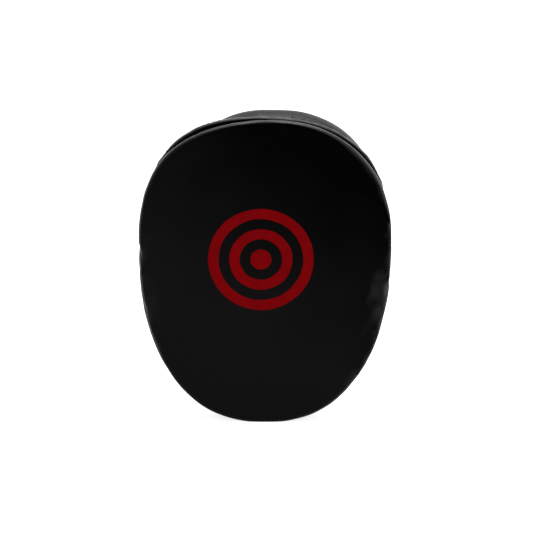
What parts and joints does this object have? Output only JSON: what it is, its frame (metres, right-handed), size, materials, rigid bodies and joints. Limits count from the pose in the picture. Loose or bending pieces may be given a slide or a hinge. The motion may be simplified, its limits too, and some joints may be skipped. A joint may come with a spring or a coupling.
{
  "type": "focus mitt",
  "caption": "Curved strike pad held on the hand: cushioned face, finger hood with finger loops, thumb sleeve, palm ball and hook-and-loop wrist cuff.",
  "frame": {"origin": "on the back panel, under the centre of the palm", "axes": "+Z along the fingers, +Y away from the striker, +X to the striker's right"},
  "size_m": [0.2038, 0.0817, 0.2557],
  "materials": {
    "leather": "semi-matt black synthetic leather with a fine grain",
    "print_red": "thin matt red print",
    "foam": "closed-cell foam",
    "fabric": "black knitted lining",
    "board": "pressed fibre board",
    "binding": "black ribbed binding tape",
    "webbing": "black woven elastic",
    "hook_and_loop": "black hook-and-loop tape"
  },
  "bodies": {
    "root": {"face_panel": "leather", "target_ring_outer": "print_red", "target_ring_inner": "print_red", "target_centre": "print_red", "front_gusset": "leather", "impact_foam": "foam", "divider_panel": "fabric", "rear_gusset": "leather", "shock_foam": "foam", "backing_board": "board", "back_panel": "leather", "palm_ball_core": "foam", "palm_ball_cover": "leather", "hood_shell": "leather", "hood_foam": "foam", "hood_lining": "fabric", "mouth_binding": "binding", "finger_loop_index": "webbing", "finger_loop_middle": "webbing", "finger_loop_ring": "webbing", "finger_loop_little": "webbing", "thumb_sleeve": "leather", "thumb_lining": "fabric", "thumb_bindings": "binding", "wrist_pad_foam": "foam", "wrist_pad_cover": "fabric", "cuff_lining": "fabric", "cuff_foam": "foam", "cuff_leather": "leather", "cuff_bindings": "binding", "anchor_patch": "leather", "strap_anchor": "leather", "loop_patch": "hook_and_loop"},
    "strap": {"wrist_strap": "leather"},
    "strap_tip": {"strap_end": "leather", "hook_patch": "hook_and_loop", "pull_tab": "binding"}
  },
  "joints": [
    {"name": "strap_swing", "type": "hinge", "parent": "root", "child": "strap", "pos_m": [-0.0267, 0.03725, -0.057], "axis": [0, 0, 1], "range_deg": [0, 120]},
    {"name": "tip_peel", "type": "hinge", "parent": "strap", "child": "strap_tip", "pos_m": [0.01382, 0.04258, -0.057], "axis": [0, 0, 1], "range_deg": [0, 60]}
  ]
}
